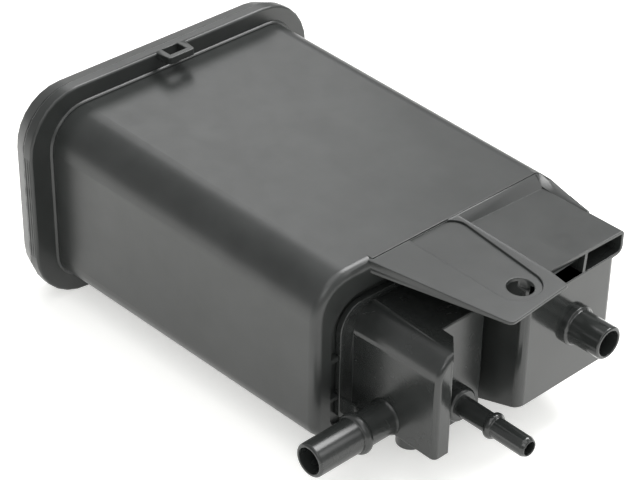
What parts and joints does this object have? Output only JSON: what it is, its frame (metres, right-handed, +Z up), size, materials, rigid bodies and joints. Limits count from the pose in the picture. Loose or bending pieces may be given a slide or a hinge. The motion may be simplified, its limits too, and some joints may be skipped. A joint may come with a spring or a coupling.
{
  "type": "charcoal canister",
  "caption": "Black moulded box that stores fuel vapour in carbon beds, with a welded end cover, hose ports, a vent box and a bolted bracket tab.",
  "frame": {"origin": "under the middle of the part's bounding box, at the height of the lowest edge of the weld flange", "axes": "+X runs from the end cover to the ports, +Y from the load port's side to the vent box's side, +Z up"},
  "size_m": [0.271, 0.1784, 0.112],
  "materials": {
    "black_nylon": "semi-gloss, glass-filled",
    "polyester_felt": "needled felt",
    "open_cell_foam": "open-cell foam",
    "activated_carbon": "packed pellets",
    "spring_steel": "drawn wire"
  },
  "bodies": {
    "root": {"canister_housing": "black_nylon", "end_cover": "black_nylon", "port_cap": "black_nylon", "main_port_grid": "black_nylon", "main_port_felt": "polyester_felt", "main_carbon_bed": "activated_carbon", "main_cover_felt": "polyester_felt", "main_retainer_plate": "black_nylon", "main_spring_upper": "spring_steel", "main_spring_lower": "spring_steel", "vent_port_grid": "black_nylon", "vent_port_felt": "polyester_felt", "vent_carbon_bed": "activated_carbon", "vent_cover_felt": "polyester_felt", "vent_retainer_plate": "black_nylon", "vent_spring_upper": "spring_steel", "vent_spring_lower": "spring_steel", "vent_box_foam": "open_cell_foam"}
  },
  "joints": []
}
